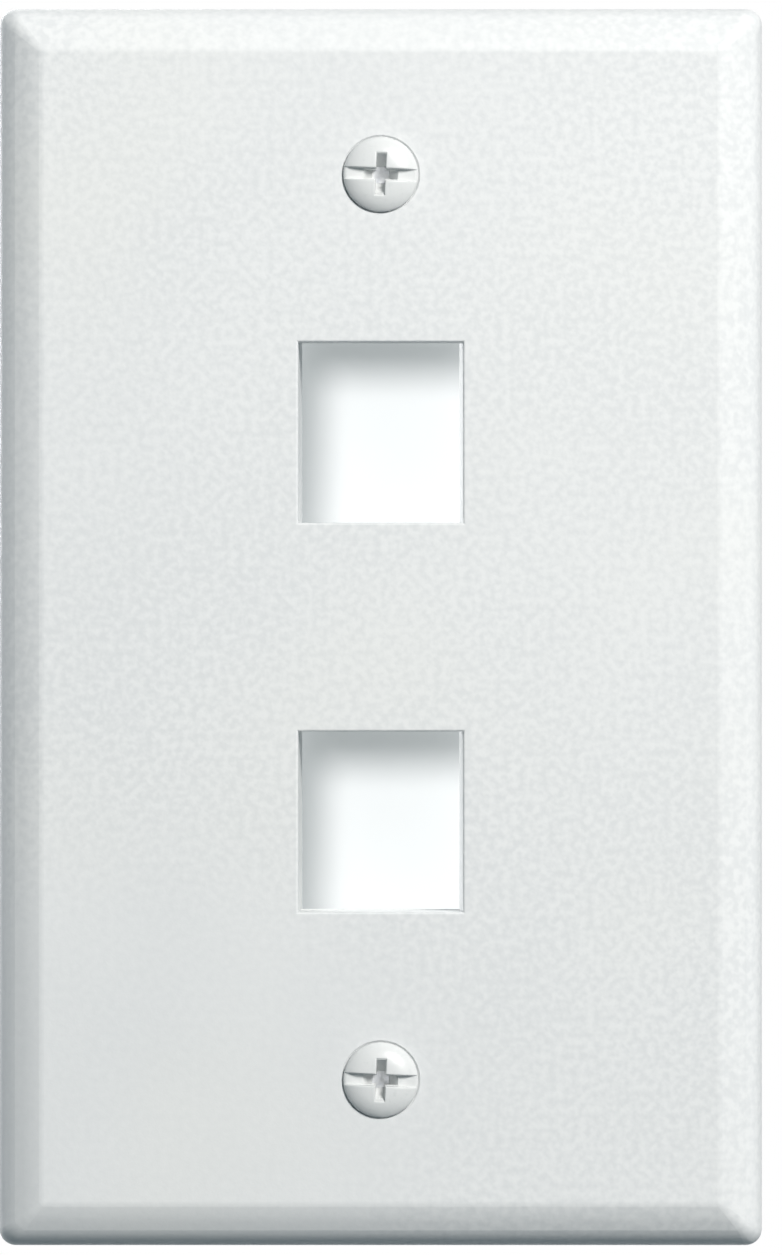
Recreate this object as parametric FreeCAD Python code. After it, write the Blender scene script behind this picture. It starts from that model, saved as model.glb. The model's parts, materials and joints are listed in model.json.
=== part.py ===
import FreeCAD, Part
import math
import os

# Two-port keystone faceplate: one moulded wall plate and the two screws that hold it.
#
# Frame: +Z runs up the plate and +X to the right as seen from the room, which lies towards -Y.
# The origin is the middle of the plate on the wall plane, where the rear rim meets the wall.
# Sizes are in millimetres and angles in degrees. "Below the face" means towards the wall.

# ---- plate outline and its rolled border
PLATE_WIDTH = 70.5
PLATE_HEIGHT = 114.3
PLATE_DEPTH = 5.6  # wall plane to the flat of the face
FACE_WALL = 2.2  # moulded thickness of the face
RIM_WALL = 1.9  # moulded thickness of the rear rim
LIP_RADIUS = 3.4  # outer roll, from the upright edge to the slope
LIP_END_ANGLE = 33.0  # slope of the surface where the lip meets the border
SLOPE_RADIUS = 7.4  # long crown of the border
CREASE_ANGLE = 12.0  # slope of the border where it meets the flat
CREASE_ROUND = 2.0
CORNER_ROUND = 1.5

# ---- keystone ports
PORT_COUNT = 2
PORT_PITCH = 35.85
PORT_WIDTH = 15.2  # at the face
PORT_HEIGHT = 16.65
PORT_DRAFT = 1.6  # lean of each side wall, so that the port narrows towards its rear
PORT_EDGE_ROUND = 0.2
HOUSING_DEPTH = 10.0  # face to the rear end of the housing
HOUSING_SIDE_WALL = 1.6
HOUSING_END_WALL = 1.7
HOUSING_CHAMFER = 0.5
LATCH_WEB = 4.0  # face to the latch recess above the port
LATCH_RECESS = 4.0  # height of the latch recess above the port
LATCH_CATCH = 2.0  # overhang of the ledge that the latch clicks behind
HOOK_WEB = 6.5  # face to the hook recess below the port
HOOK_RECESS = 2.0
HOOK_CATCH = 2.0
CATCH_THICKNESS = 1.8
CATCH_LEAD = 0.7  # lead-in chamfer on the rear edge of each ledge

# ---- rear ribs and ejector marks
RIB_HEIGHT = 1.4
RIB_ROOT = 1.4
RIB_TIP = 1.0
EJECTOR_DIAMETER = 5.0
EJECTOR_DEPTH = 0.15
EJECTOR_INSET = 13.0  # from the plate's edges to the centre of a mark

# ---- mounting screws, oval head with a combined slot and cross, thread 6-32
SCREW_SPACING = 83.34
SCREW_LENGTH = 25.4  # below the rim of the head
THREAD_DIAMETER = 3.505
NECK_DIAMETER = 2.95  # plain neck, as wide as the blank the thread is rolled on
NECK_LENGTH = 1.3
POINT_CHAMFER = 0.5
HEAD_DIAMETER = 7.0
HEAD_ANGLE = 82.0
HEAD_DOME = 1.2
HEAD_RIM = 0.2
SLOT_WIDTH = 1.1
SLOT_DEPTH = 1.45
CROSS_SPAN = 4.0
CROSS_WIDTH = 0.9
CROSS_DEPTH = 2.3
CROSS_TIP_SPAN = 1.5

# ---- fit of a screw in the plate
HEAD_MARGIN = 0.15  # countersink mouth round the head
HOLE_CLEARANCE = 0.25  # round the thread
HOLE_LAND = 1.3  # straight hole below the countersink
BOSS_WALL = 1.2

# ---- worked out from the values above
FACE_Y = -PLATE_DEPTH
INNER_FACE_Y = FACE_Y + FACE_WALL
HOUSING_WIDTH = PORT_WIDTH + 2 * HOUSING_SIDE_WALL
HOUSING_TOP = PORT_HEIGHT / 2 + LATCH_RECESS + HOUSING_END_WALL
HOUSING_BOTTOM = PORT_HEIGHT / 2 + HOOK_RECESS + HOUSING_END_WALL
HOLE_RADIUS = THREAD_DIAMETER / 2 + HOLE_CLEARANCE
SINK_RADIUS = HEAD_DIAMETER / 2 + HEAD_MARGIN
CONE_SLOPE = math.tan(math.radians(HEAD_ANGLE / 2))
SINK_DEPTH = (SINK_RADIUS - HOLE_RADIUS) / CONE_SLOPE
BOSS_RADIUS = SINK_RADIUS + BOSS_WALL
BOSS_DEPTH = SINK_DEPTH + HOLE_LAND
HEAD_SEAT_Y = FACE_Y + HEAD_MARGIN / CONE_SLOPE  # widest ring of the head's cone, seated
HEAD_RIM_Y = HEAD_SEAT_Y - HEAD_RIM
PORT_HEIGHTS = [(i - (PORT_COUNT - 1) / 2) * PORT_PITCH for i in range(PORT_COUNT)]
SCREW_HEIGHTS = [-SCREW_SPACING / 2, SCREW_SPACING / 2]
OVERCUT = 1.0  # how far a cutting solid runs past the surface that it opens


def polygon_face(points):
    """Flat face inside a closed polygon."""
    return Part.Face(Part.makePolygon([*points, points[0]]))


def border_point(centre, radius, slope):
    """Point of a border arc where its surface slopes by this many degrees, as (out, above wall)."""
    angle = math.radians(slope)
    return centre[0] + radius * math.sin(angle), centre[1] + radius * math.cos(angle)


def border_outline(half_span):
    """Points of the rolled border, from the wall plane up to the flat of the face.

    They are foot, start of lip, middle of lip, end of lip, middle of slope and crease, each
    as (distance from the plate's middle, height above the wall plane).
    """
    lip_centre = (half_span - LIP_RADIUS, 0.0)
    lip_end = border_point(lip_centre, LIP_RADIUS, LIP_END_ANGLE)
    slope_centre = border_point(lip_centre, LIP_RADIUS - SLOPE_RADIUS, LIP_END_ANGLE)
    points = [
        (half_span, 0.0),
        border_point(lip_centre, LIP_RADIUS, (90.0 + LIP_END_ANGLE) / 2),
        lip_end,
        border_point(slope_centre, SLOPE_RADIUS, (LIP_END_ANGLE + CREASE_ANGLE) / 2),
        border_point(slope_centre, SLOPE_RADIUS, CREASE_ANGLE),
    ]
    edge_height = PLATE_DEPTH - points[-1][1]
    return [(half_span, 0.0)] + [(out, height + edge_height) for out, height in points]


def outer_section(half_span):
    """Section of the solid plate across one direction: rolled borders joined by the flat."""

    def at(point, side):
        return FreeCAD.Vector(side * point[0], -point[1], 0)

    foot, lip_start, lip_mid, lip_end, slope_mid, crease = border_outline(half_span)
    edges = []
    for side in (1, -1):
        edges += [
            Part.LineSegment(at(foot, side), at(lip_start, side)).toShape(),
            Part.Arc(at(lip_start, side), at(lip_mid, side), at(lip_end, side)).toShape(),
            Part.Arc(at(lip_end, side), at(slope_mid, side), at(crease, side)).toShape(),
        ]
    edges.append(Part.LineSegment(at(crease, 1), at(crease, -1)).toShape())
    edges.append(Part.LineSegment(at(foot, 1), at(foot, -1)).toShape())
    return Part.Face(Part.Wire(Part.__sortEdges__(edges)))


def inner_section(half_span):
    """Section of the hollow behind the face, its shoulder running parallel to the border."""
    foot, lip_start, lip_mid, lip_end, slope_mid, crease = border_outline(half_span)
    fall = (crease[1] - lip_end[1]) / (lip_end[0] - crease[0])
    flat_end = crease[0]
    wall = half_span - RIM_WALL
    flat_height = PLATE_DEPTH - FACE_WALL
    shoulder_height = flat_height - fall * (wall - flat_end)
    points = [
        (wall, -OVERCUT),
        (wall, shoulder_height),
        (flat_end, flat_height),
        (-flat_end, flat_height),
        (-wall, shoulder_height),
        (-wall, -OVERCUT),
    ]
    return polygon_face([FreeCAD.Vector(out, -height, 0) for out, height in points])


def crossed_block(section):
    """Solid whose section is the given one both across and up the plate, mitred at the corners."""
    reach = max(PLATE_WIDTH, PLATE_HEIGHT) / 2 + OVERCUT
    across = section(PLATE_WIDTH / 2)
    across.translate(FreeCAD.Vector(0, 0, -reach))
    across = across.extrude(FreeCAD.Vector(0, 0, 2 * reach))
    upward = section(PLATE_HEIGHT / 2)
    upward.translate(FreeCAD.Vector(0, 0, -reach))
    upward = upward.extrude(FreeCAD.Vector(0, 0, 2 * reach))
    upward.rotate(FreeCAD.Vector(0, 0, 0), FreeCAD.Vector(0, 1, 0), 90)
    return across.common(upward)


def corner_edges(block):
    """The mitre edges of a block's four corners, from the wall plane to the flat."""

    def is_mitre(edge):
        middle = edge.valueAt((edge.FirstParameter + edge.LastParameter) / 2)
        inset_x = PLATE_WIDTH / 2 - abs(middle.x)
        inset_z = PLATE_HEIGHT / 2 - abs(middle.z)
        return abs(inset_x - inset_z) < 1e-6

    return [edge for edge in block.Edges if is_mitre(edge)]


def edges_in_face(block):
    """The edges that lie wholly in the plane of the face."""
    return [edge for edge in block.Edges if all(abs(v.Y - FACE_Y) < 1e-6 for v in edge.Vertexes)]


def make_block():
    """The plate's outside as a solid, with its corners and its crease rounded."""
    block = crossed_block(outer_section)
    block = block.makeFillet(CORNER_ROUND, corner_edges(block))
    return block.makeFillet(CREASE_ROUND, edges_in_face(block))


def make_housing():
    """Solid block that a port is cut through, centred on the port and behind the face."""
    height = HOUSING_TOP + HOUSING_BOTTOM
    start = FreeCAD.Vector(-HOUSING_WIDTH / 2, INNER_FACE_Y - FACE_WALL / 2, -HOUSING_BOTTOM)
    depth = HOUSING_DEPTH - FACE_WALL / 2
    block = Part.makeBox(HOUSING_WIDTH, depth, height, start)
    rear_y = FACE_Y + HOUSING_DEPTH
    rear = [edge for edge in block.Edges if all(abs(v.Y - rear_y) < 1e-6 for v in edge.Vertexes)]
    return block.makeChamfer(HOUSING_CHAMFER, rear)


def make_port_void():
    """The space of one port, from the face to the rear: window, latch recess and hook recess."""
    half = PORT_HEIGHT / 2
    ledge_front = HOUSING_DEPTH - CATCH_THICKNESS
    lead_start = HOUSING_DEPTH - CATCH_LEAD
    latch_tip = half + LATCH_RECESS - LATCH_CATCH
    hook_tip = half + HOOK_RECESS - HOOK_CATCH
    rear = HOUSING_DEPTH + OVERCUT
    profile = [
        (half, -OVERCUT),
        (half, LATCH_WEB),
        (half + LATCH_RECESS, LATCH_WEB),
        (half + LATCH_RECESS, ledge_front),
        (latch_tip, ledge_front),
        (latch_tip, lead_start),
        (latch_tip + CATCH_LEAD, HOUSING_DEPTH),
        (latch_tip + CATCH_LEAD, rear),
        (-hook_tip - CATCH_LEAD, rear),
        (-hook_tip - CATCH_LEAD, HOUSING_DEPTH),
        (-hook_tip, lead_start),
        (-hook_tip, ledge_front),
        (-half - HOOK_RECESS, ledge_front),
        (-half - HOOK_RECESS, HOOK_WEB),
        (-half, HOOK_WEB),
        (-half, -OVERCUT),
    ]
    lean = math.tan(math.radians(PORT_DRAFT))
    wide = PORT_WIDTH / 2 + lean * OVERCUT
    narrow = PORT_WIDTH / 2 - lean * rear
    side = polygon_face([FreeCAD.Vector(-wide, FACE_Y + y, z) for z, y in profile])
    plan = [(-wide, -OVERCUT), (wide, -OVERCUT), (narrow, rear), (-narrow, rear)]
    drafted = polygon_face([FreeCAD.Vector(x, FACE_Y + y, -HOUSING_BOTTOM) for x, y in plan])
    drafted = drafted.extrude(FreeCAD.Vector(0, 0, HOUSING_TOP + HOUSING_BOTTOM))
    return side.extrude(FreeCAD.Vector(2 * wide, 0, 0)).common(drafted)


def make_rib(length):
    """Drafted rib rooted in the face, running along +Z from the origin."""
    tip_y = INNER_FACE_Y + RIB_HEIGHT
    section = polygon_face(
        [
            FreeCAD.Vector(-RIB_ROOT / 2, FACE_Y, 0),
            FreeCAD.Vector(-RIB_ROOT / 2, INNER_FACE_Y, 0),
            FreeCAD.Vector(-RIB_TIP / 2, tip_y, 0),
            FreeCAD.Vector(RIB_TIP / 2, tip_y, 0),
            FreeCAD.Vector(RIB_ROOT / 2, INNER_FACE_Y, 0),
            FreeCAD.Vector(RIB_ROOT / 2, FACE_Y, 0),
        ]
    )
    return section.extrude(FreeCAD.Vector(0, 0, length))


def make_ribs():
    """Two ribs up the plate in line with the housings' sides, and ribs across it between them."""
    half_width = PLATE_WIDTH / 2
    half_height = PLATE_HEIGHT / 2
    rib_x = (HOUSING_WIDTH - HOUSING_SIDE_WALL) / 2
    ribs = []
    for x in (-rib_x, rib_x):
        rib = make_rib(2 * half_height)
        rib.translate(FreeCAD.Vector(x, 0, -half_height))
        ribs.append(rib)
    levels = [
        PORT_HEIGHTS[-1] + HOUSING_TOP - HOUSING_END_WALL / 2,
        PORT_HEIGHTS[0] - HOUSING_BOTTOM + HOUSING_END_WALL / 2,
    ]
    levels += [(low + high) / 2 for low, high in zip(PORT_HEIGHTS, PORT_HEIGHTS[1:])]
    for z in levels:
        rib = make_rib(2 * half_width)
        rib.rotate(FreeCAD.Vector(0, 0, 0), FreeCAD.Vector(0, 1, 0), 90)
        rib.translate(FreeCAD.Vector(-half_width, 0, z))
        ribs.append(rib)
    return ribs


def turned(profile):
    """Solid turned about the Y axis from (radius, y) points."""
    face = polygon_face([FreeCAD.Vector(radius, y, 0) for radius, y in profile])
    return face.revolve(FreeCAD.Vector(0, 0, 0), FreeCAD.Vector(0, 1, 0), 360)


def make_boss():
    """Round boss rooted in the face, for a screw hole."""
    start = FreeCAD.Vector(0, FACE_Y, 0)
    return Part.makeCylinder(BOSS_RADIUS, BOSS_DEPTH, start, FreeCAD.Vector(0, 1, 0))


def make_screw_hole():
    """Countersunk hole, open at both ends."""
    mouth_radius = SINK_RADIUS + OVERCUT * CONE_SLOPE
    return turned(
        [
            (0, FACE_Y - OVERCUT),
            (mouth_radius, FACE_Y - OVERCUT),
            (HOLE_RADIUS, FACE_Y + SINK_DEPTH),
            (HOLE_RADIUS, FACE_Y + BOSS_DEPTH + OVERCUT),
            (0, FACE_Y + BOSS_DEPTH + OVERCUT),
        ]
    )


def make_ejector_marks():
    """Shallow round marks that the mould's ejector pins leave on the back of the face."""
    x = PLATE_WIDTH / 2 - EJECTOR_INSET
    heights = [PLATE_HEIGHT / 2 - EJECTOR_INSET, EJECTOR_INSET - PLATE_HEIGHT / 2, *PORT_HEIGHTS]
    return [
        Part.makeCylinder(
            EJECTOR_DIAMETER / 2,
            EJECTOR_DEPTH + OVERCUT,
            FreeCAD.Vector(side * x, INNER_FACE_Y - EJECTOR_DEPTH, z),
            FreeCAD.Vector(0, 1, 0),
        )
        for side in (-1, 1)
        for z in heights
    ]


def at_height(solid, z):
    """Copy of a solid, moved up the plate."""
    placed = solid.copy()
    placed.translate(FreeCAD.Vector(0, 0, z))
    return placed


def window_edges(plate):
    """The edges of the port windows in the plane of the face."""
    half_width = PORT_WIDTH / 2 + 1e-6
    half_height = PORT_HEIGHT / 2 + 1e-6

    def in_window(vertex):
        return abs(vertex.X) <= half_width and any(
            abs(vertex.Z - z) <= half_height for z in PORT_HEIGHTS
        )

    return [edge for edge in edges_in_face(plate) if all(map(in_window, edge.Vertexes))]


def make_core():
    """All that the mould's core keeps empty behind the face: the hollow round ribs and bosses."""
    bosses = [at_height(make_boss(), z) for z in SCREW_HEIGHTS]
    hollow = crossed_block(inner_section).cut(make_ribs() + bosses)
    return hollow.fuse(make_ejector_marks())


def make_faceplate():
    """The whole moulding: hollow plate and port housings, with ports and screw holes cut."""
    housings = [at_height(make_housing(), z) for z in PORT_HEIGHTS]
    plate = make_block().cut(make_core()).fuse(housings).removeSplitter()
    ports = [at_height(make_port_void(), z) for z in PORT_HEIGHTS]
    holes = [at_height(make_screw_hole(), z) for z in SCREW_HEIGHTS]
    plate = plate.cut(ports + holes)
    return plate.makeFillet(PORT_EDGE_ROUND, window_edges(plate))


def make_cross_wing():
    """One tapered wing of the cross recess, its length along Z, its mouth above the dome."""
    top_y = HEAD_RIM_Y - HEAD_DOME
    taper = (CROSS_SPAN - CROSS_TIP_SPAN) / 2 / CROSS_DEPTH
    mouth = CROSS_SPAN / 2 + taper * OVERCUT
    outline = [
        (mouth, top_y - OVERCUT),
        (CROSS_TIP_SPAN / 2, top_y + CROSS_DEPTH),
        (-CROSS_TIP_SPAN / 2, top_y + CROSS_DEPTH),
        (-mouth, top_y - OVERCUT),
    ]
    wing = polygon_face([FreeCAD.Vector(-CROSS_WIDTH / 2, y, z) for z, y in outline])
    return wing.extrude(FreeCAD.Vector(CROSS_WIDTH, 0, 0))


def make_screw():
    """Oval-head screw seated in a countersink, its slot level, on the axis through the origin."""
    head = HEAD_DIAMETER / 2
    neck = NECK_DIAMETER / 2
    thread = THREAD_DIAMETER / 2
    top_y = HEAD_RIM_Y - HEAD_DOME
    neck_y = HEAD_SEAT_Y + (head - neck) / CONE_SLOPE
    thread_y = neck_y + NECK_LENGTH
    end_y = HEAD_RIM_Y + SCREW_LENGTH
    dome_radius = (head**2 + HEAD_DOME**2) / (2 * HEAD_DOME)
    half_sweep = math.asin(head / dome_radius) / 2
    dome_mid = FreeCAD.Vector(
        dome_radius * math.sin(half_sweep), top_y + dome_radius * (1 - math.cos(half_sweep)), 0
    )
    outline = [
        (head, HEAD_RIM_Y),
        (head, HEAD_SEAT_Y),
        (neck, neck_y),
        (neck, thread_y),
        (thread, thread_y + (thread - neck)),
        (thread, end_y - POINT_CHAMFER),
        (thread - POINT_CHAMFER, end_y),
        (0, end_y),
        (0, top_y),
    ]
    points = [FreeCAD.Vector(radius, y, 0) for radius, y in outline]
    dome = Part.Arc(points[-1], dome_mid, points[0]).toShape()
    section = Part.Face(Part.Wire([dome, *Part.makePolygon(points).Edges]))
    body = section.revolve(FreeCAD.Vector(0, 0, 0), FreeCAD.Vector(0, 1, 0), 360)
    slot = Part.makeBox(
        HEAD_DIAMETER + 2 * OVERCUT,
        SLOT_DEPTH + OVERCUT,
        SLOT_WIDTH,
        FreeCAD.Vector(-head - OVERCUT, top_y - OVERCUT, -SLOT_WIDTH / 2),
    )
    upright = make_cross_wing()
    level = upright.copy()
    level.rotate(FreeCAD.Vector(0, 0, 0), FreeCAD.Vector(0, 1, 0), 90)
    return body.cut([slot, upright, level])


def main():
    """Write one STEP file for each piece."""
    pieces = {"faceplate": make_faceplate()}
    for name, z in zip(("lower_screw", "upper_screw"), SCREW_HEIGHTS):
        pieces[name] = at_height(make_screw(), z)
    os.makedirs("parts", exist_ok=True)
    for name, shape in pieces.items():
        solids = shape.Solids
        if len(solids) != 1 or not shape.isValid():
            raise RuntimeError(f"{name} came out as {len(solids)} solids, valid {shape.isValid()}")
        solids[0].exportStep(f"parts/{name}.step")
        box = solids[0].BoundBox
        size = f"{box.XLength:.2f} x {box.YLength:.2f} x {box.ZLength:.2f} mm"
        print(f"{name}: {solids[0].Volume:.1f} mm3, {size}")


main()
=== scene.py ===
"""Looks of the two-port keystone faceplate: its finishes, its screws, the studio and the camera.

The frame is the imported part's own: metres, +Z up the plate, +X to the right as seen from the
room, and the room towards -Y. Sizes that end in _mm are in millimetres. A pair called a reach
holds the value at which a smooth step is 0 and the value at which it is 1.
"""

import json
import logging
import math
from dataclasses import dataclass, field
from enum import Enum
from typing import Any

import bmesh
import bpy
from mathutils import Matrix, Vector


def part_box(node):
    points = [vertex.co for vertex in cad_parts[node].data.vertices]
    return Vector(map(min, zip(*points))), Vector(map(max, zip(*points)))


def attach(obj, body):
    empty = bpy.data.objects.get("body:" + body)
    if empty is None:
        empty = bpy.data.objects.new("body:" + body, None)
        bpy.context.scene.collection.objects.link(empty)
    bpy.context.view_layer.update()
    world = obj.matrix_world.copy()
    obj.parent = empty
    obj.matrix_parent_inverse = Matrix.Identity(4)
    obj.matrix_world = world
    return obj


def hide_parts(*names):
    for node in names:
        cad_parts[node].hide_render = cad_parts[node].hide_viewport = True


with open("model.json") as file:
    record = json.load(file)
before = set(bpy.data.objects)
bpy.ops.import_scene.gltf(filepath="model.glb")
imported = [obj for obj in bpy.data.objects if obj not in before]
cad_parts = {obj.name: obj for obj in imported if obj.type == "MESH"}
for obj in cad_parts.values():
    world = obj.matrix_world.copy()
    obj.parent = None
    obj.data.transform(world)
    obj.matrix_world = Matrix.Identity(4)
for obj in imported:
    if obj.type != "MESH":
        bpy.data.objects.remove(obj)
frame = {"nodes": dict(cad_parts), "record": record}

LOG = logging.getLogger("faceplate")
MM = 0.001
MIDDLE = 0.5  # of what runs from 0 to 1
BODY = "root"

Colour = tuple[float, float, float]
Pair = tuple[float, float]
Ring = list[bmesh.types.BMVert]
WHITE: Colour = (1.0, 1.0, 1.0)


class Place(Enum):
    """The two screws, by the CAD node that each stands for."""

    UPPER = "upper_screw"
    LOWER = "lower_screw"


class Slot(Enum):
    """The record's material slots."""

    PLATE = "plate_plastic"
    SCREW = "screw_paint"


@dataclass(frozen=True)
class Mottle:
    """Size and make-up of a smooth noise."""

    cell_mm: float  # size of one blotch
    octaves: float = 2.0
    keep: float = 0.5  # share that each finer octave keeps


class Field:
    """A number that varies over a surface, so that shader maths reads as plain maths."""

    def __init__(self, tree: "ShaderTree", socket: bpy.types.NodeSocket) -> None:
        """Keeps an output socket.

        Args:
            tree: The tree that the socket's node is in.
            socket: The output that carries the number.
        """
        self.tree = tree
        self.socket = socket

    def _math(self, operation: str, first: "Field | float", second: "Field | float") -> "Field":
        """Adds one Math node.

        Args:
            operation: Name of the Math operation.
            first: Left operand.
            second: Right operand.

        Returns:
            The result as a field.
        """
        node = self.tree.add("ShaderNodeMath", {"operation": operation}, {0: first, 1: second})
        return Field(self.tree, node.outputs[0])

    def __add__(self, other: "Field | float") -> "Field":
        """Sum."""
        return self._math("ADD", self, other)

    __radd__ = __add__

    def __mul__(self, other: "Field | float") -> "Field":
        """Product."""
        return self._math("MULTIPLY", self, other)

    __rmul__ = __mul__

    def __sub__(self, other: "Field | float") -> "Field":
        """Difference."""
        return self._math("SUBTRACT", self, other)

    def __rsub__(self, other: "Field | float") -> "Field":
        """Difference from a plain number."""
        return self._math("SUBTRACT", other, self)

    def __pow__(self, other: "Field | float") -> "Field":
        """Power."""
        return self._math("POWER", self, other)

    def larger(self, other: "Field | float") -> "Field":
        """The larger of two values."""
        return self._math("MAXIMUM", self, other)

    def step(self, low: float, high: float) -> "Field":
        """Smooth step from 0 to 1.

        Args:
            low: Value at which the result is 0.
            high: Value at which the result is 1. It may be below low.

        Returns:
            The step as a field.
        """
        inputs = {"Value": self, "From Min": low, "From Max": high, "To Min": 0.0, "To Max": 1.0}
        node = self.tree.add("ShaderNodeMapRange", {"interpolation_type": "SMOOTHSTEP"}, inputs)
        return Field(self.tree, node.outputs[0])


class ShaderTree:
    """A node tree and the one way in which nodes are added to it."""

    def __init__(self, tree: bpy.types.NodeTree) -> None:
        """Empties a tree and takes it over.

        Args:
            tree: Node tree of a material, a world or a lamp.
        """
        self.tree = tree
        self.tree.nodes.clear()

    def add(
        self, kind: str, settings: dict[str, Any] | None = None, inputs: dict[Any, Any] | None = None
    ) -> bpy.types.Node:
        """Adds a node, its settings first and then the values or links of its sockets.

        Args:
            kind: Type of the node.
            settings: Attributes of the node.
            inputs: For each socket, by number, identifier or name: a field, a socket, a number,
                a colour or a vector.

        Returns:
            The node.
        """
        node = self.tree.nodes.new(kind)
        for name, value in (settings or {}).items():
            setattr(node, name, value)
        for key, value in (inputs or {}).items():
            self._feed(self._socket(node, key), value)
        return node

    @staticmethod
    def _socket(node: bpy.types.Node, key: int | str) -> bpy.types.NodeSocket:
        """Finds an input.

        Args:
            node: Node that has the input.
            key: Number, identifier or name.

        Returns:
            The input socket.
        """
        if isinstance(key, int):
            return node.inputs[key]
        for socket in node.inputs:
            if socket.identifier == key:
                return socket
        return node.inputs[key]

    def _feed(self, socket: bpy.types.NodeSocket, value: Any) -> None:
        """Links or sets an input.

        Args:
            socket: The input.
            value: A field or a socket to link, or a value to set.
        """
        if isinstance(value, Field):
            value = value.socket
        if isinstance(value, bpy.types.NodeSocket):
            self.tree.links.new(value, socket)
        elif socket.type == "RGBA" and len(value) == 3:
            socket.default_value = (*value, 1.0)
        else:
            socket.default_value = value

    def field(self, node: bpy.types.Node, output: int | str = 0) -> Field:
        """An output of a node as a field."""
        return Field(self, node.outputs[output])

    def blend(self, factor: Field, first: Any, second: Any) -> bpy.types.NodeSocket:
        """Mixes two colours.

        Args:
            factor: 0 gives the first colour and 1 the second.
            first: Colour or colour socket.
            second: Colour or colour socket.

        Returns:
            The mixed colour.
        """
        inputs = {"Factor_Float": factor, "A_Color": first, "B_Color": second}
        node = self.add("ShaderNodeMix", {"data_type": "RGBA"}, inputs)
        return next(s for s in node.outputs if s.identifier == "Result_Color")

    def millimetres(self) -> bpy.types.NodeSocket:
        """Place on the object, in millimetres.

        Returns:
            The vector.
        """
        place = self.add("ShaderNodeTexCoord").outputs["Object"]
        scaled = self.add(
            "ShaderNodeVectorMath", {"operation": "SCALE"}, {"Vector": place, "Scale": 1 / MM}
        )
        return scaled.outputs[0]

    def axes(self, vector: bpy.types.NodeSocket) -> tuple[Field, Field, Field]:
        """Splits a vector.

        Args:
            vector: The vector.

        Returns:
            Its X, Y and Z.
        """
        parts = self.add("ShaderNodeSeparateXYZ", None, {"Vector": vector})
        return self.field(parts, 0), self.field(parts, 1), self.field(parts, 2)

    def noise(self, place: bpy.types.NodeSocket, mottle: Mottle) -> Field:
        """Smooth noise about 0.

        Args:
            place: Place in millimetres.
            mottle: Size and make-up of the noise.

        Returns:
            Noise from about -0.5 to 0.5.
        """
        inputs = {
            "Vector": place,
            "Scale": 1 / mottle.cell_mm,
            "Detail": mottle.octaves,
            "Roughness": mottle.keep,
        }
        return self.field(self.add("ShaderNodeTexNoise", None, inputs)) - MIDDLE

    def bump(self, height: Field, depth_mm: float, strength: float) -> bpy.types.NodeSocket:
        """Normal of a relief.

        Args:
            height: Relief, from about 0 to 1.
            depth_mm: Depth that a height of 1 stands for.
            strength: Share of the relief that shows.

        Returns:
            The normal.
        """
        inputs = {"Height": height, "Distance": depth_mm * MM, "Strength": strength}
        return self.add("ShaderNodeBump", None, inputs).outputs[0]

    def mixed(self, factor: Field, first: bpy.types.Node, second: bpy.types.Node) -> bpy.types.Node:
        """Mixes two shaders.

        Args:
            factor: 0 gives the first shader and 1 the second.
            first: Shader node.
            second: Shader node.

        Returns:
            The mixed shader.
        """
        inputs = {0: factor, 1: first.outputs[0], 2: second.outputs[0]}
        return self.add("ShaderNodeMixShader", None, inputs)

    def surface(self, shader: bpy.types.Node, kind: str = "ShaderNodeOutputMaterial") -> None:
        """Links a shader to the tree's output."""
        self.add(kind, None, {"Surface": shader.outputs[0]})


def new_material(name: str) -> tuple[bpy.types.Material, ShaderTree]:
    """Makes an empty node material.

    Args:
        name: Name of the material.

    Returns:
        The material and its tree.
    """
    material = bpy.data.materials.new(name)
    material.use_nodes = True
    return material, ShaderTree(material.node_tree)


def add_object(name: str, data: bpy.types.ID) -> bpy.types.Object:
    """Makes an object and links it to the scene.

    Args:
        name: Name of the object.
        data: Its mesh, lamp or camera.

    Returns:
        The object.
    """
    made = bpy.data.objects.new(name, data)
    bpy.context.scene.collection.objects.link(made)
    return made


def seen_directly(tree: ShaderTree) -> Field:
    """Tells whether a surface is seen by the camera, in a reflection or through glass.

    Args:
        tree: The tree of the surface or the world.

    Returns:
        1 where it is, and 0 where it only lights other things.
    """
    path = tree.add("ShaderNodeLightPath")
    seen = tree.field(path, "Is Camera Ray").larger(tree.field(path, "Is Glossy Ray"))
    return seen.larger(tree.field(path, "Is Transmission Ray"))


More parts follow.
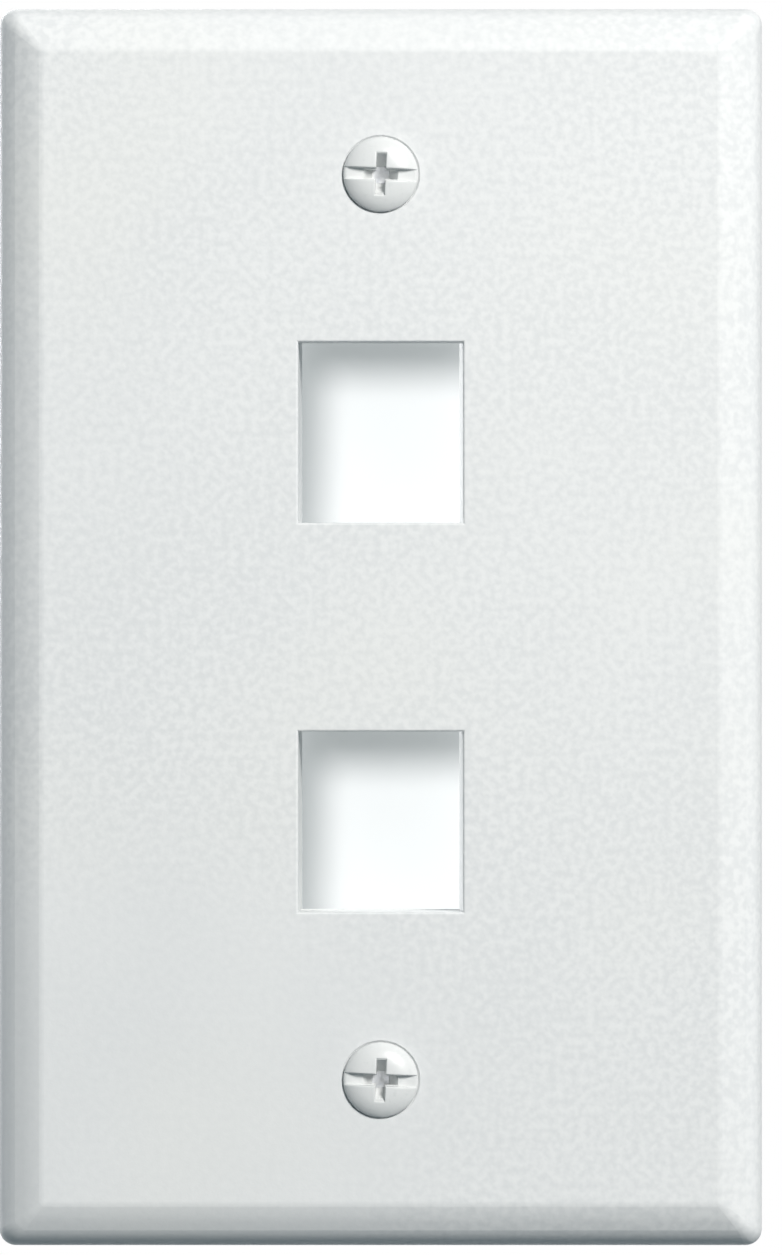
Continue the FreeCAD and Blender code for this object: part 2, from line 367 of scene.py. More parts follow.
@dataclass(frozen=True)
class PlatePlastic:
    """Satin white moulded plastic: fine even grain towards the room, with painted shade in the grain's
    hollows, smoother towards the wall.
    """

    colour: Colour = (0.834, 0.844, 0.844)
    # painted shade: the colour that the grain's hollows are darkened to, together with large random
    # clouds
    hollow_shade_colour: Colour = (0.747, 0.762, 0.767)
    warm_colour: Colour = (0.832, 0.836, 0.802)
    grain: Mottle = Mottle(0.70, 1.0, 0.45)
    pores: Mottle = Mottle(0.21, 1.0)
    clouds: Mottle = Mottle(17.0)
    warmth: Mottle = Mottle(30.0, 1.0)
    patches: Mottle = Mottle(40.0, 0.0)  # in which the grain's painted hollow shade is stronger or weaker
    grain_contrast: float = 2.0
    patch_share: float = 1.6
    cloud_share: float = 0.5
    warm_reach: Pair = (-0.05, 0.3)
    warm_share: float = 0.35
    worn_centre_mm: Pair = (-23.0, -46.0)  # X and Z of where the mould's grain is worn and its painted hollow shade fainter
    worn_reach_mm: Pair = (36.0, 18.0)
    worn_share: float = 0.8
    grain_relief: float = 0.7
    pore_relief: float = 0.5
    relief_mm: float = 0.022
    relief_strength: float = 0.45
    roughness: float = 0.46
    polished_roughness: float = 0.30
    side_roughness: float = 0.60
    roughness_spread: float = 0.16
    wall_side_reach: Pair = (-0.25, 0.35)  # of the normal's Y
    wall_side_calm: Pair = (0.6, 0.75)  # shares of tone and relief lost there
    side_reach: Pair = (0.09, 0.0)  # shares of the painted hollow shade and of the relief lost there
    ior: float = 1.49

    def build(self) -> bpy.types.Material:
        """Makes the material.

        Returns:
            The material.
        """
        material, tree = new_material("moulded_white_plastic")
        place = tree.millimetres()
        grain = tree.noise(place, self.grain)
        pores = tree.noise(place, self.pores)
        clouds = tree.noise(place, self.clouds)
        warmth = tree.noise(place, self.warmth)
        contrast = self.grain_contrast * (1 + tree.noise(place, self.patches) * self.patch_share)
        contrast = contrast * (1 - self._worn(tree, place) * self.worn_share)
        normal = tree.add("ShaderNodeNewGeometry").outputs["Normal"]
        towards_wall = tree.axes(normal)[1]
        wall_side = towards_wall.step(*self.wall_side_reach)
        side = (towards_wall * towards_wall).step(*self.side_reach)
        tone_calm, relief_calm = self.wall_side_calm

        # painted shade, darkest where the grain's relief is low, mixed with large random clouds of tone
        hollow_shade_and_mottle = (MIDDLE - grain * contrast - clouds * self.cloud_share).step(0.0, 1.0)
        tone = tree.blend(hollow_shade_and_mottle * (1 - wall_side * tone_calm), self.colour, self.hollow_shade_colour)
        tint = tree.blend(warmth.step(*self.warm_reach) * self.warm_share, tone, self.warm_colour)
        satin = self.roughness + (grain + pores) * self.roughness_spread
        rough = satin - wall_side * (self.roughness - self.polished_roughness)
        rough = rough + side * (self.side_roughness - self.roughness)
        relief = grain * self.grain_relief + pores * self.pore_relief + MIDDLE
        relief = relief * (1 - wall_side * relief_calm)
        plastic = tree.add(
            "ShaderNodeBsdfPrincipled",
            None,
            {
                "Base Color": tint,
                "Roughness": rough,
                "IOR": self.ior,
                "Normal": tree.bump(relief, self.relief_mm, self.relief_strength),
            },
        )
        tree.surface(plastic)
        return material

    def _worn(self, tree: ShaderTree, place: bpy.types.NodeSocket) -> Field:
        """Part of the plate where the mould's grain is worn smooth, so that the painted shade in its
        hollows is fainter there.

        Args:
            tree: The material's tree.
            place: Place in millimetres.

        Returns:
            1 in the middle of that part and 0 outside it.
        """
        x, _, z = tree.axes(place)
        aside, above = x - self.worn_centre_mm[0], z - self.worn_centre_mm[1]
        return ((aside * aside + above * above) ** 0.5).step(*self.worn_reach_mm)


@dataclass(frozen=True)
class ScrewFinish:
    """Zinc-plated steel, its head dipped in white gloss paint."""

    paint_colour: Colour = (0.77, 0.782, 0.778)
    thin_colour: Colour = (0.64, 0.67, 0.66)
    zinc_colour: Colour = (0.60, 0.62, 0.65)
    zinc_dull_colour: Colour = (0.43, 0.45, 0.49)
    peel: Mottle = Mottle(0.55, 1.5)  # of the paint
    spangle: Mottle = Mottle(0.35, 3.0, 0.6)  # of the zinc
    thin_reach: Pair = (0.05, 0.5)
    thin_share: float = 0.5
    spangle_reach: Pair = (-0.25, 0.25)
    paint_roughness: float = 0.34
    paint_roughness_spread: float = 0.08
    zinc_roughness: float = 0.34
    zinc_roughness_spread: float = 0.2
    spangle_relief: float = 0.5
    relief_mm: float = 0.02
    relief_strength: float = 0.5
    overspray_mm: float = 0.25

    def build(self, paint_end_y_mm: float) -> bpy.types.Material:
        """Makes the material.

        Args:
            paint_end_y_mm: Where the paint ends under the head, along Y.

        Returns:
            The material.
        """
        material, tree = new_material("painted_steel")
        place = tree.millimetres()
        peel = tree.noise(place, self.peel)
        spangle = tree.noise(place, self.spangle)
        ragged_y = tree.axes(place)[1] + peel * self.overspray_mm
        bare = ragged_y.step(paint_end_y_mm - self.overspray_mm, paint_end_y_mm)
        thin = (peel + spangle).step(*self.thin_reach) * self.thin_share
        paint = tree.blend(thin, self.paint_colour, self.thin_colour)
        zinc = tree.blend(spangle.step(*self.spangle_reach), self.zinc_dull_colour, self.zinc_colour)
        painted = self.paint_roughness + peel * self.paint_roughness_spread
        plated = self.zinc_roughness + spangle * self.zinc_roughness_spread
        relief = peel + spangle * bare * self.spangle_relief + MIDDLE
        steel = tree.add(
            "ShaderNodeBsdfPrincipled",
            None,
            {
                "Base Color": tree.blend(bare, paint, zinc),
                "Metallic": bare,
                "Roughness": painted + bare * (plated - painted),
                "Normal": tree.bump(relief, self.relief_mm, self.relief_strength),
            },
        )
        tree.surface(steel)
        return material


@dataclass
class Faceplate:
    """The moulded plate, which keeps its CAD mesh."""

    node: str = "faceplate"
    finish: PlatePlastic = field(default_factory=PlatePlastic)

    def dress(self) -> bpy.types.Object:
        """Gives the plate its finish.

        Returns:
            The plate.
        """
        plate = frame["nodes"][self.node]
        plate.data.materials.clear()
        plate.data.materials.append(self.finish.build())
        return plate


@dataclass(frozen=True)
class HeadGrid:
    """Where the grid lines of a screw's head run, on one side of its middle.

    Rows lie across the slot's width and columns along its length.
    """

    slot_rows_mm: tuple[float, ...] = (0.0, 0.2)
    wing_rows_mm: tuple[float, ...] = (1.0, 1.25, 1.5, 1.7)
    rim_rows: tuple[float, ...] = (0.12, 0.26, 0.4, 0.54, 0.66, 0.76, 0.84, 0.9, 0.945, 0.975)
    wing_columns_mm: tuple[float, ...] = (0.0, 0.15, 0.3)
    last_inner_column_mm: float = 0.65
    outer_columns: tuple[float, ...] = (
        0.05, 0.13, 0.21, 0.29, 0.37, 0.43, 0.48, 0.56, 0.64, 0.72, 0.8, 0.88, 0.95, 1.0
    )
    roll_shares: tuple[float, ...] = (0.0, 0.08, 0.3, 0.6, 1.0)
    rim_rings: tuple[float, ...] = (0.25, 0.5, 0.72, 0.88, 0.97, 1.0)  # shares of the rim's roll
    narrowing: float = 0.6  # share of a short row that its inner columns take up


@dataclass
class MountingScrew:
    """Oval-head 6-32 machine screw with a slot and a cross in its head.

    Depths in the head count from the top of its dome, and the slot runs along X before the
    screw is turned. The mesh is made in millimetres about the screw's own axis.
    """

    place: Place
    turn_degrees: float = 2.5
    dome_mm: float = 0.85
    dome_power: float = 4.0  # 2 would be near a ball's cap, and more is flatter in the middle
    rim_roll_mm: float = 0.55
    rim_mm: float = 0.98  # depth of the rim's outer edge
    seat_mm: float = 1.4  # depth of the ring where the cone begins
    slot_width_mm: float = 1.1
    slot_depth_mm: float = 0.78
    cross_width_mm: float = 0.9
    cross_span_mm: float = 4.0
    cross_tip_span_mm: float = 1.5
    cross_depth_mm: float = 2.3
    draft_mm: float = 0.05
    roll_mm: float = 0.1
    head_angle_degrees: float = 82.0
    cone_start_mm: float = 0.06
    cone_rings: tuple[float, ...] = (0.25, 0.5, 0.75, 0.95)
    neck_radius_mm: float = 1.475
    neck_length_mm: float = 1.3
    neck_blend_mm: float = 0.08
    thread_radius_mm: float = 1.7525
    pitch_mm: float = 25.4 / 32  # 32 threads to the inch
    thread_depth: float = 0.613  # share of the pitch
    run_in: float = 0.6  # turns over which the thread grows out of the neck
    point_mm: float = 0.5
    cup_mm: float = 0.12
    paint_share: float = 0.45  # of the cone under the head
    sharp_degrees: float = 48.0
    weld_mm: float = 0.0005
    corner_decimals: int = 6  # of a millimetre, by which corners are told apart
    mouth_rounds: int = 20  # in which the place of a wing's mouth settles
    columns: int = 64
    grid: HeadGrid = field(default_factory=HeadGrid)
    finish: ScrewFinish = field(default_factory=ScrewFinish)
    thread_profile: tuple[Pair, ...] = (  # share of a turn, and share of the depth
        (0.0, 0.02),
        (0.0625, 0.0),
        (0.125, 0.02),
        (0.302, 0.5),
        (0.479, 0.98),
        (0.5625, 1.0),
        (0.646, 0.98),
        (0.823, 0.5),
    )
    centre: Vector = field(init=False)
    radius_mm: float = field(init=False)
    dome_edge_mm: float = field(init=False)  # radius where the rim's roll begins
    top_y_mm: float = field(init=False)
    seat_y_mm: float = field(init=False)
    neck_y_mm: float = field(init=False)
    thread_y_mm: float = field(init=False)
    tip_y_mm: float = field(init=False)

    def __post_init__(self) -> None:
        """Takes the head's radius and the screw's place and ends from the CAD node."""
        low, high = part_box(self.place.value)
        self.centre = Vector(((low.x + high.x) / 2, 0.0, (low.z + high.z) / 2))
        self.radius_mm = (high.x - low.x) / 2 / MM
        self.dome_edge_mm = self.radius_mm - self.rim_roll_mm
        half_angle = math.radians(self.head_angle_degrees / 2)
        self.top_y_mm, self.tip_y_mm = low.y / MM, high.y / MM
        self.seat_y_mm = self.top_y_mm + self.seat_mm
        self.neck_y_mm = self.seat_y_mm + (self.radius_mm - self.neck_radius_mm) / math.tan(half_angle)
        self.thread_y_mm = self.neck_y_mm + self.neck_length_mm

    def build(self) -> bpy.types.Object:
        """Builds and seats the screw in place of its CAD node.

        Returns:
            The screw.
        """
        work = bmesh.new()
        self._add_shank(work, self._add_head(work))
        bmesh.ops.remove_doubles(work, verts=work.verts, dist=self.weld_mm)
        bmesh.ops.recalc_face_normals(work, faces=work.faces)
        turn = Matrix.Rotation(math.radians(self.turn_degrees), 4, "Y")
        work.transform(Matrix.Translation(self.centre) @ turn @ Matrix.Scale(MM, 4))
        mesh = bpy.data.meshes.new(f"{self.place.value}_dressed")
        work.to_mesh(mesh)
        work.free()
        mesh.shade_smooth()
        mesh.set_sharp_from_angle(angle=math.radians(self.sharp_degrees))
        screw = add_object(mesh.name, mesh)
        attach(screw, BODY)
        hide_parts(self.place.value)
        return screw

    def dress(self, screw: bpy.types.Object) -> None:
        """Gives the screw its paint and its zinc.

        Args:
            screw: The screw.
        """
        paint_end = self.seat_y_mm + (self.neck_y_mm - self.seat_y_mm) * self.paint_share
        screw.data.materials.append(self.finish.build(paint_end))

    def _dome_drop(self, radius: float) -> float:
        """Depth of the bare dome at a distance from the axis."""
        return self.dome_mm * (radius / self.radius_mm) ** self.dome_power

    def _wing_slope(self) -> float:
        """Depth that a cross wing's end gains for each millimetre towards the axis."""
        return self.cross_depth_mm / ((self.cross_span_mm - self.cross_tip_span_mm) / 2)

    def _wing_floor(self, along: float, across: float) -> float:
        """Depth of the floor of a cross wing.

        Args:
            along: Distance from the axis along the wing.
            across: Distance from the wing's middle line.

        Returns:
            The depth, which falls off steeply at the wing's side.
        """
        floor = min(self.cross_depth_mm, self._wing_slope() * (self.cross_span_mm / 2 - abs(along)))
        wall = max(0.0, abs(across) - (self.cross_width_mm / 2 - self.draft_mm))
        return floor - self.cross_depth_mm / self.draft_mm * wall

    def _wing_mouth(self) -> float:
        """Finds where a cross wing's end comes out of the dome.

        Returns:
            The distance from the axis.
        """
        mouth = self.cross_span_mm / 2
        for _ in range(self.mouth_rounds):
            mouth = self.cross_span_mm / 2 - self._dome_drop(mouth) / self._wing_slope()
        return mouth

    def _drop(self, x: float, z: float) -> float:
        """Depth of the head's surface, with its slot and cross.

        Args:
            x: Distance from the axis along the slot.
            z: Distance from the axis across the slot.

        Returns:
            The depth below the top of the dome.
        """
        dome = self._dome_drop(min(math.hypot(x, z), self.radius_mm))
        slot_half = self.slot_width_mm / 2
        beside = max(0.0, abs(x) - self.cross_width_mm / 2)
        beyond = max(0.0, abs(z) - self._wing_mouth())
        outside = min(max(0.0, abs(z) - slot_half), math.hypot(beside, beyond))
        if outside < self.roll_mm:
            dome += self.roll_mm - math.sqrt(self.roll_mm**2 - (self.roll_mm - outside) ** 2)
        wall = max(0.0, abs(z) - (slot_half - self.draft_mm))
        slot = self.slot_depth_mm * (1 - wall / self.draft_mm)
        return max(dome, slot, self._wing_floor(z, x), self._wing_floor(x, z))

    @staticmethod
    def _mirrored(half: list[float]) -> list[float]:
        """A list of distances from 0, on both sides of 0."""
        ordered = sorted(set(half))
        return [-d for d in reversed(ordered) if d > 0] + ordered

    def _edge_lines(self, edge: float) -> list[float]:
        """Grid lines across one edge of the recess, from the foot of its wall to its roll."""
        rolled = [edge + self.roll_mm * share for share in self.grid.roll_shares]
        return [edge - self.draft_mm, *rolled]

    def _rows(self) -> list[float]:
        """Places of the head's rows across the slot.

        Returns:
            The places, in order.
        """
        wing_half = self.cross_width_mm / 2
        rows = [*self.grid.slot_rows_mm, wing_half - self.draft_mm, wing_half]
        rows += [*self._edge_lines(self.slot_width_mm / 2), self.cross_tip_span_mm / 2]
        rows += [*self.grid.wing_rows_mm, *self._edge_lines(self._wing_mouth())]
        start = rows[-1]
        rows += [start + (self.dome_edge_mm - start) * share for share in self.grid.rim_rows]
        return self._mirrored(rows)

    def _columns(self, reach: float) -> list[float]:
        """Places of the head's vertices along one row.

        Args:
            reach: Half the row's length.

        Returns:
            The places, in order.
        """
        inner = [*self.grid.wing_columns_mm, *self._edge_lines(self.cross_width_mm / 2)]
        inner.append(self.grid.last_inner_column_mm)
        fold = min(1.0, self.grid.narrowing * reach / inner[-1])
        half = [x * fold for x in inner]
        half += [half[-1] + (reach - half[-1]) * share for share in self.grid.outer_columns]
        return self._mirrored(half)

    def _add_crown(self, work: bmesh.types.BMesh) -> list[Ring]:
        """Adds the head inside its rim, with the slot and the cross.

        Args:
            work: Mesh in the making.

        Returns:
            The vertices, row by row.
        """
        edge = self.dome_edge_mm
        rows = self._rows()
        lines = []
        for number, z in enumerate(rows):
            last = number in (0, len(rows) - 1)
            line = []
            for x in self._columns(math.sqrt(edge**2 - z**2)):
                bent = math.copysign(math.sqrt(edge**2 - x**2), z) if last else z
                line.append(work.verts.new((x, self.top_y_mm + self._drop(x, bent), bent)))
            lines.append(line)
        for lower, upper in zip(lines, lines[1:]):
            for i in range(len(lower) - 1):
                work.faces.new((lower[i], lower[i + 1], upper[i + 1], upper[i]))
        return lines

    def _add_head(self, work: bmesh.types.BMesh) -> Ring:
        """Adds the head down to the ring where its cone begins.

        Args:
            work: Mesh in the making.

        Returns:
            The vertices of that ring.
        """
        lines = self._add_crown(work)
        left = [line[0] for line in lines[1:-1]]
        right = [line[-1] for line in lines[1:-1]]
        rings = [lines[0] + right + lines[-1][::-1] + left[::-1]]
        for share in self.grid.rim_rings:
            rings.append(self._grown(work, rings[0], share))
        rings.append([work.verts.new((vert.co.x, self.seat_y_mm, vert.co.z)) for vert in rings[-1]])
        for first, second in zip(rings, rings[1:]):
            self._bridge(work, first, second)
        return rings[-1]

    def _grown(self, work: bmesh.types.BMesh, loop: Ring, share: float) -> Ring:
        """Adds a ring on the rim's roll, on which the slot keeps its width.

        Args:
            work: Mesh in the making.
            loop: Edge of the dome, where the roll begins.
            share: Where the ring lies, from 0 at the dome's edge to 1 at the rim's outer edge.

        Returns:
            The vertices of the ring.
        """
        edge = self.dome_edge_mm
        radius = edge + self.rim_roll_mm * share
        start = self._dome_drop(edge)
        straight = self.dome_power * start / edge * self.rim_roll_mm  # fall if the slope stayed the same
        bend = (self.rim_mm - start - straight) * (1 - math.sqrt(1 - share**2))
        ring_drop = start + straight * share + bend
        ring = []
        for vert in loop:
            x, _, z = vert.co
            drop = ring_drop
            if abs(z) < self.slot_width_mm:
                x = math.copysign(math.sqrt(radius**2 - z**2), x)
                drop = max(ring_drop, self._drop(x, z))
            else:
                x, z = x * radius / edge, z * radius / edge
            ring.append(work.verts.new((x, self.top_y_mm + drop, z)))
        return ring

    @staticmethod
    def _bridge(work: bmesh.types.BMesh, first: Ring, second: Ring) -> None:
        """Joins two rings of equal count with four-sided faces.

        Args:
            work: Mesh in the making.
            first: One ring.
            second: The other ring.
        """
        count = len(first)
        for i in range(count):
            j = (i + 1) % count
            work.faces.new((first[i], first[j], second[j], second[i]))

    @staticmethod
    def _angle(vert: bmesh.types.BMVert) -> float:
        """Angle of a vertex about the axis, from +Z towards +X."""
        return math.atan2(vert.co.x, vert.co.z) % math.tau

    def _zip(self, work: bmesh.types.BMesh, first: Ring, second: Ring) -> None:
        """Joins two rings of different counts with triangles.

        Args:
            work: Mesh in the making.
            first: One ring.
            second: The other ring.
        """
        first = sorted(first, key=self._angle)
        second = sorted(second, key=self._angle)
        i = j = 0
        while i < len(first) or j < len(second):
            here, there = first[i % len(first)], second[j % len(second)]
            next_first = self._angle(first[i]) if i < len(first) else math.inf
            next_second = self._angle(second[j]) if j < len(second) else math.inf
            if next_first <= next_second:
                work.faces.new((first[i - 1], here, second[j - 1]))
                i += 1
            else:
                work.faces.new((second[j - 1], there, first[i - 1]))
                j += 1

    def _ring(self, work: bmesh.types.BMesh, radius: float, y: float) -> Ring:
        """Adds an evenly divided ring round the axis."""
        angles = [math.tau * j / self.columns for j in range(self.columns)]
        return [work.verts.new((radius * math.sin(a), y, radius * math.cos(a))) for a in angles]

    def _add_shank(self, work: bmesh.types.BMesh, seat: Ring) -> None:
        """Adds the cone, the neck, the thread and the point.

        Args:
            work: Mesh in the making.
            seat: Ring where the cone begins.
        """
        cone_mm = self.neck_y_mm - self.seat_y_mm
        slope = (self.radius_mm - self.neck_radius_mm) / cone_mm
        falls = [self.cone_start_mm]
        falls += [falls[0] + (cone_mm - falls[0]) * share for share in self.cone_rings]
        rings = [self._ring(work, self.radius_mm - fall * slope, self.seat_y_mm + fall) for fall in falls]
        rings.append(self._ring(work, self.neck_radius_mm, self.neck_y_mm + self.neck_blend_mm))
        self._zip(work, seat, rings[0])
        for upper, lower in zip(rings, rings[1:]):
            self._bridge(work, upper, lower)
        self._add_thread(work, rings[-1])

    def _thread_surface(self, share: float, y: float) -> float:
        """Radius of the thread, run out at the neck and chamfered at the point.

        Args:
            share: Depth in the thread's profile, 0 on the crest and 1 at the root.
            y: Place along the screw.

        Returns:
            The radius.
        """
        full = self.thread_radius_mm - self.thread_depth * self.pitch_mm * share
        grown = min(1.0, max(0.0, (y - self.thread_y_mm) / (self.run_in * self.pitch_mm)))
        radius = self.neck_radius_mm + (full - self.neck_radius_mm) * grown
        return min(radius, self.thread_radius_mm - self.point_mm + max(0.0, self.tip_y_mm - y))

    def _thread_line(self, work: bmesh.types.BMesh, column: int, rows: int) -> Ring:
        """Adds the thread's vertices down one side of the screw, on rows that follow the helix.

        Args:
            work: Mesh in the making.
            column: Number of the line, counted round the axis.
            rows: Count of the faces down the line.

        Returns:
            The vertices, from the neck to the point.
        """
        per_turn = len(self.thread_profile)
        angle = math.tau * column / self.columns
        line = []
        for i in range(rows + 1):
            phase, share = self.thread_profile[i % per_turn]
            turn = i // per_turn + phase + column / self.columns - 1
            y = min(max(self.thread_y_mm + turn * self.pitch_mm, self.thread_y_mm), self.tip_y_mm)
            radius = self._thread_surface(share, y)
            line.append(work.verts.new((radius * math.sin(angle), y, radius * math.cos(angle))))
        return line

    def _add_thread(self, work: bmesh.types.BMesh, neck: Ring) -> None:
        """Adds the right-hand thread and the cupped point.

        Args:
            work: Mesh in the making.
            neck: Last ring of the neck.
        """
        per_turn = len(self.thread_profile)
        rows = (math.ceil((self.tip_y_mm - self.thread_y_mm) / self.pitch_mm) + 1) * per_turn
        lines = [self._thread_line(work, column, rows) for column in range(self.columns)]
        for line, after in zip(lines, lines[1:] + lines[:1]):
            shift = per_turn if after is lines[0] else 0  # the helix meets itself one turn on
            for i in range(rows - shift):
                patch = (line[i], line[i + 1], after[i + 1 + shift], after[i + shift])
                if len({tuple(round(c, self.corner_decimals) for c in v.co) for v in patch}) > 2:
                    work.faces.new(patch)
        self._bridge(work, neck, [line[0] for line in lines])
        cup = work.verts.new((0.0, self.tip_y_mm - self.cup_mm, 0.0))
        end = [line[-1] for line in lines]
        for vert, after in zip(end, end[1:] + end[:1]):
            work.faces.new((vert, after, cup))


@dataclass
class PortCard:
    """Small card behind each port that takes the soft shadow seen through it.

    It shows to the camera and in reflections, and only from its front.
    """

    shade: float = 0.305
    paper_colour: Colour = (0.45, 0.45, 0.45)
    glow_colour: Colour = (0.93, 1.0, 1.0)
    behind_mm: float = 6.0
    margin_mm: float = 1.2

    def build(self, number: int, centre_z: float, width: float, height: float) -> bpy.types.Object:
        """Makes one card.

        Args:
            number: Number in the card's name.
            centre_z: Height of the port's middle.
            width: Width of the port.
            height: Height of the port.

        Returns:
            The card.
        """
        half_x = width / 2 + self.margin_mm * MM
        half_z = height / 2 + self.margin_mm * MM
        signs = ((-1, -1), (1, -1), (1, 1), (-1, 1))
        outline = [(half_x * x, self.behind_mm * MM, centre_z + half_z * z) for x, z in signs]
        mesh = bpy.data.meshes.new(f"port_card_{number}")
        mesh.from_pydata(outline, [], [(0, 1, 2, 3)])
        mesh.materials.append(self._paper())
        card = add_object(mesh.name, mesh)
        for ray in ("diffuse", "transmission", "volume_scatter", "shadow"):
            setattr(card, f"visible_{ray}", False)
        return card

    def _paper(self) -> bpy.types.Material:
        """White paper that never falls below a pale grey, and is clear from behind.

        Returns:
            The material.
        """
        material, tree = new_material("port_card_paper")
        paper = tree.add("ShaderNodeBsdfDiffuse", None, {"Color": self.paper_colour})
        glow = tree.add(
            "ShaderNodeEmission", None, {"Color": self.glow_colour, "Strength": self.shade}
        )
        front = tree.add("ShaderNodeAddShader", None, {0: paper.outputs[0], 1: glow.outputs[0]})
        behind = tree.field(tree.add("ShaderNodeNewGeometry"), "Backfacing")
        tree.surface(tree.mixed(behind, front, tree.add("ShaderNodeBsdfTransparent")))
        return material


@dataclass
class Floor:
    """Pale disc that fades into the white surroundings and is clear from below."""

    height: float = -0.092
    radius: float = 0.40
    segments: int = 96
    glow: float = 0.2
    glow_colour: Colour = (1.0, 0.97, 0.96)
    fade_reach: Pair = (0.35, 0.95)  # shares of the radius
    grain: Mottle = Mottle(1.5)
    grain_reach: Pair = (-0.3, 0.3)
    dark_tone: Colour = (0.84, 0.85, 0.85)
    pale_tone: Colour = (0.86, 0.87, 0.87)

    def build(self) -> bpy.types.Object:
        """Makes the floor.

        Returns:
            The floor.
        """
        work = bmesh.new()
        bmesh.ops.create_circle(work, cap_ends=True, segments=self.segments, radius=self.radius)
        work.transform(Matrix.Translation((0.0, 0.0, self.height)))
        mesh = bpy.data.meshes.new("floor")
        work.to_mesh(mesh)
        work.free()
        mesh.materials.append(self._paint())
        floor = add_object("floor", mesh)
        floor.visible_diffuse = False
        return floor

    def _paint(self) -> bpy.types.Material:
        """Pale paint with a faint grain.

        Returns:
            The material.
        """
        material, tree = new_material("pale_floor")
        place = tree.millimetres()
        x, y, _ = tree.axes(place)
        near, far = (share * self.radius / MM for share in self.fade_reach)
        fade = ((x * x + y * y) ** 0.5).step(near, far)
        grain = tree.noise(place, self.grain)
        tone = tree.blend(grain.step(*self.grain_reach), self.dark_tone, self.pale_tone)
        paint = tree.add("ShaderNodeBsdfDiffuse", None, {"Color": tone})
        dark = tree.add("ShaderNodeEmission", None, {"Strength": 0.0})
        glow = tree.add("ShaderNodeEmission", None, {"Color": self.glow_colour, "Strength": self.glow})
        shown = tree.mixed(seen_directly(tree), dark, glow)
        lit = tree.add("ShaderNodeAddShader", None, {0: paint.outputs[0], 1: shown.outputs[0]})
        below = tree.field(tree.add("ShaderNodeNewGeometry"), "Backfacing")
        tree.surface(tree.mixed(fade.larger(below), lit, tree.add("ShaderNodeBsdfTransparent")))
        return material


@dataclass(frozen=True)
class Lamp:
    """A round lamp that looks at the plate and that the camera doesn't see.

    Its level is the light on a surface that faces it, 1 being a white that renders as white.
    """

    name: str
    level: float
    direction: tuple[float, float, float]  # from the plate to the lamp
    distance: float
    size: float
    colour: Colour = WHITE

    def build(self) -> bpy.types.Object:
        """Makes the lamp.

        Returns:
            The lamp.
        """
        data = bpy.data.lights.new(self.name, "AREA")
        data.shape = "DISK"
        data.size = self.size
        data.energy = self.level * (math.pi * self.distance) ** 2
        data.color = self.colour
        lamp = add_object(self.name, data)
        towards = Vector(self.direction).normalized()
        lamp.location = towards * self.distance
        lamp.rotation_euler = towards.to_track_quat("Z", "Y").to_euler()
        lamp.visible_camera = False
        return lamp


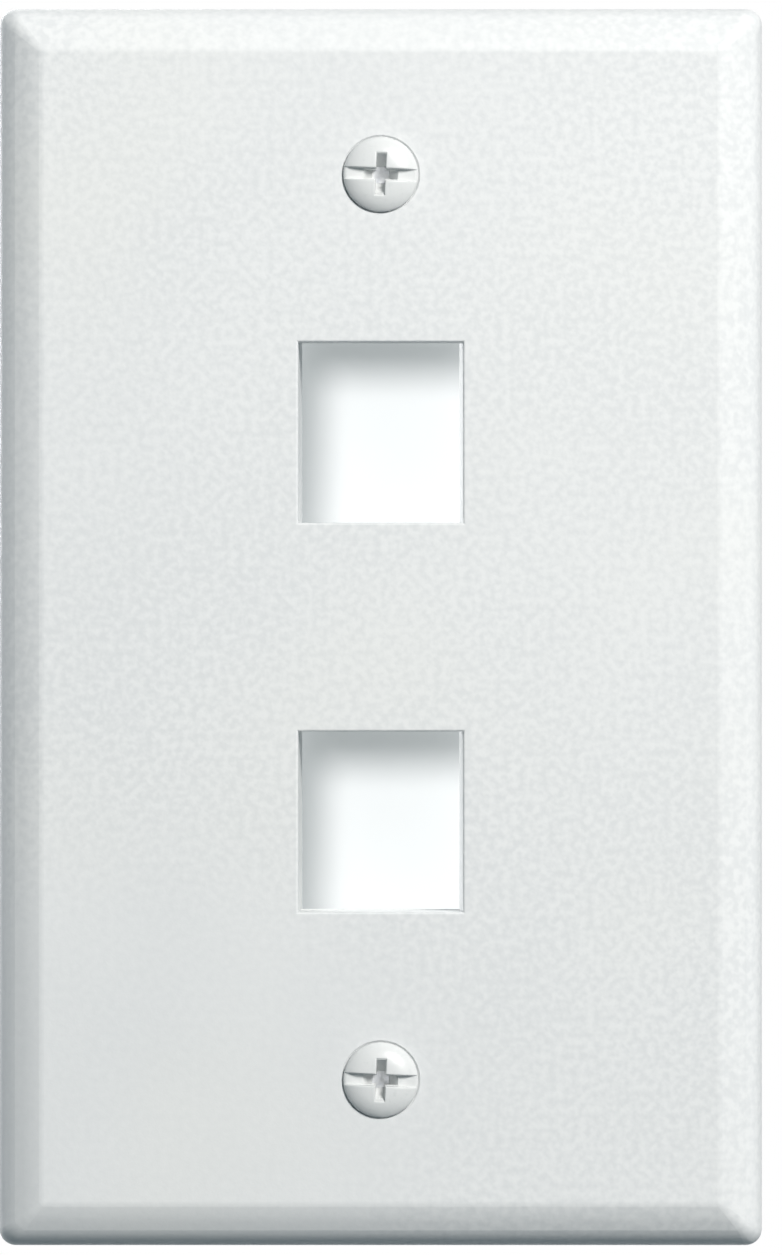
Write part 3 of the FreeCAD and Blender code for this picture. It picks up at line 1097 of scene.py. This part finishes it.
@dataclass
class Studio:
    """Pale floor, white surroundings, one main lamp, and weaker ones beside and behind the plate."""

    ambient: Colour = (0.042, 0.076, 0.093)
    lamps: tuple[Lamp, ...] = (
        Lamp("key", 1.11, (0.44, -1.0, 0.54), 0.92, 0.345, (1.0, 0.98, 0.955)),
        Lamp("rear", 0.78, (-0.40, 1.0, 0.32), 0.90, 0.60),
        Lamp("right_edge", 0.17, (1.0, 0.10, 0.0), 0.60, 0.40),
        Lamp("left_edge", 0.26, (-1.0, 0.40, 0.0), 0.60, 0.40),
        Lamp("top_edge", 0.12, (0.0, 0.10, 1.0), 0.60, 0.40),
    )
    card_lamp: Lamp = Lamp("card_lamp", 1.32, (-0.205, -1.0, 0.28), 0.80, 0.29)
    floor: Floor = field(default_factory=Floor)
    card: PortCard = field(default_factory=PortCard)

    def build(self) -> None:
        """Makes the floor, the cards, the lamps and the world."""
        self.floor.build()
        cards = self._add_cards()
        lamps = [lamp.build() for lamp in self.lamps]
        self._link_light(cards, lamps)
        self._fill_world()
        LOG.info("built the floor, %d cards and %d lamps", len(cards), len(lamps) + 1)

    def _add_cards(self) -> list[bpy.types.Object]:
        """Makes a card behind each port, from the record's port openings.

        Returns:
            The cards.
        """
        cards = []
        for opening in frame["record"]["physics"]["openings"]:
            if opening["name"].endswith("_port"):
                low, high = (Vector(corner) for corner in opening["box_m"])
                size = high - low
                cards.append(self.card.build(len(cards), (low.z + high.z) / 2, size.x, size.z))
        return cards

    def _link_light(self, cards: list[bpy.types.Object], lamps: list[bpy.types.Object]) -> None:
        """Lights the cards with their own lamp alone, from the upper left.

        Args:
            cards: The cards.
            lamps: The lamps that light all but the cards.
        """
        lit = bpy.data.collections.new("lit_by_card_lamp")
        dark = bpy.data.collections.new("lit_by_card_lamp_alone")
        for card in cards:
            lit.objects.link(card)
            dark.objects.link(card)
        for member in dark.collection_objects:
            member.light_linking.link_state = "EXCLUDE"
        self.card_lamp.build().light_linking.receiver_collection = lit
        for lamp in lamps:
            lamp.light_linking.receiver_collection = dark

    def _fill_world(self) -> None:
        """Gives the world a soft even light, and shows it as white."""
        world = bpy.data.worlds.new("studio")
        bpy.context.scene.world = world
        world.use_nodes = True
        tree = ShaderTree(world.node_tree)
        soft = tree.add("ShaderNodeBackground", None, {"Color": self.ambient, "Strength": 1.0})
        white = tree.add("ShaderNodeBackground", None, {"Color": WHITE, "Strength": 1.0})
        tree.surface(tree.mixed(seen_directly(tree), soft, white), "ShaderNodeOutputWorld")


@dataclass
class StudioCamera:
    """Long-lens camera that looks straight at the plate."""

    lens_mm: float = 250.0
    sensor_mm: float = 36.0
    framed_height_mm: float = 116.0  # that the frame takes in at the plate's outline
    outline_y_mm: float = -2.3  # where the plate is at its widest
    aside_mm: float = 0.95
    below_mm: float = 0.04
    clip_shares: Pair = (0.1, 20.0)  # of the distance

    def build(self) -> bpy.types.Object:
        """Makes the camera and sets it as the scene's.

        Returns:
            The camera.
        """
        low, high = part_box("faceplate")
        data = bpy.data.cameras.new("camera")
        data.lens = self.lens_mm
        data.sensor_width = self.sensor_mm
        distance = self.framed_height_mm * MM * self.lens_mm / self.sensor_mm
        data.clip_start, data.clip_end = (distance * share for share in self.clip_shares)
        camera = add_object("camera", data)
        camera.location = (
            (low.x + high.x) / 2 + self.aside_mm * MM,
            self.outline_y_mm * MM - distance,
            (low.z + high.z) / 2 - self.below_mm * MM,
        )
        camera.rotation_euler = (math.radians(90.0), 0.0, 0.0)
        bpy.context.scene.camera = camera
        return camera


def main() -> None:
    """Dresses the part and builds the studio."""
    logging.basicConfig(level=logging.INFO, format="%(name)s: %(message)s")
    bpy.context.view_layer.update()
    plate = Faceplate().dress()
    LOG.info("dressed %s", plate.name)
    for place in Place:
        maker = MountingScrew(place)
        screw = maker.build()
        maker.dress(screw)
        LOG.info("built %s with %d faces", screw.name, len(screw.data.polygons))
    Studio().build()
    camera = StudioCamera().build()
    LOG.info("set the %s with a lens of %.0f mm", camera.name, camera.data.lens)
    bpy.context.scene.view_settings.view_transform = "Standard"


if __name__ == "__main__":
    main()
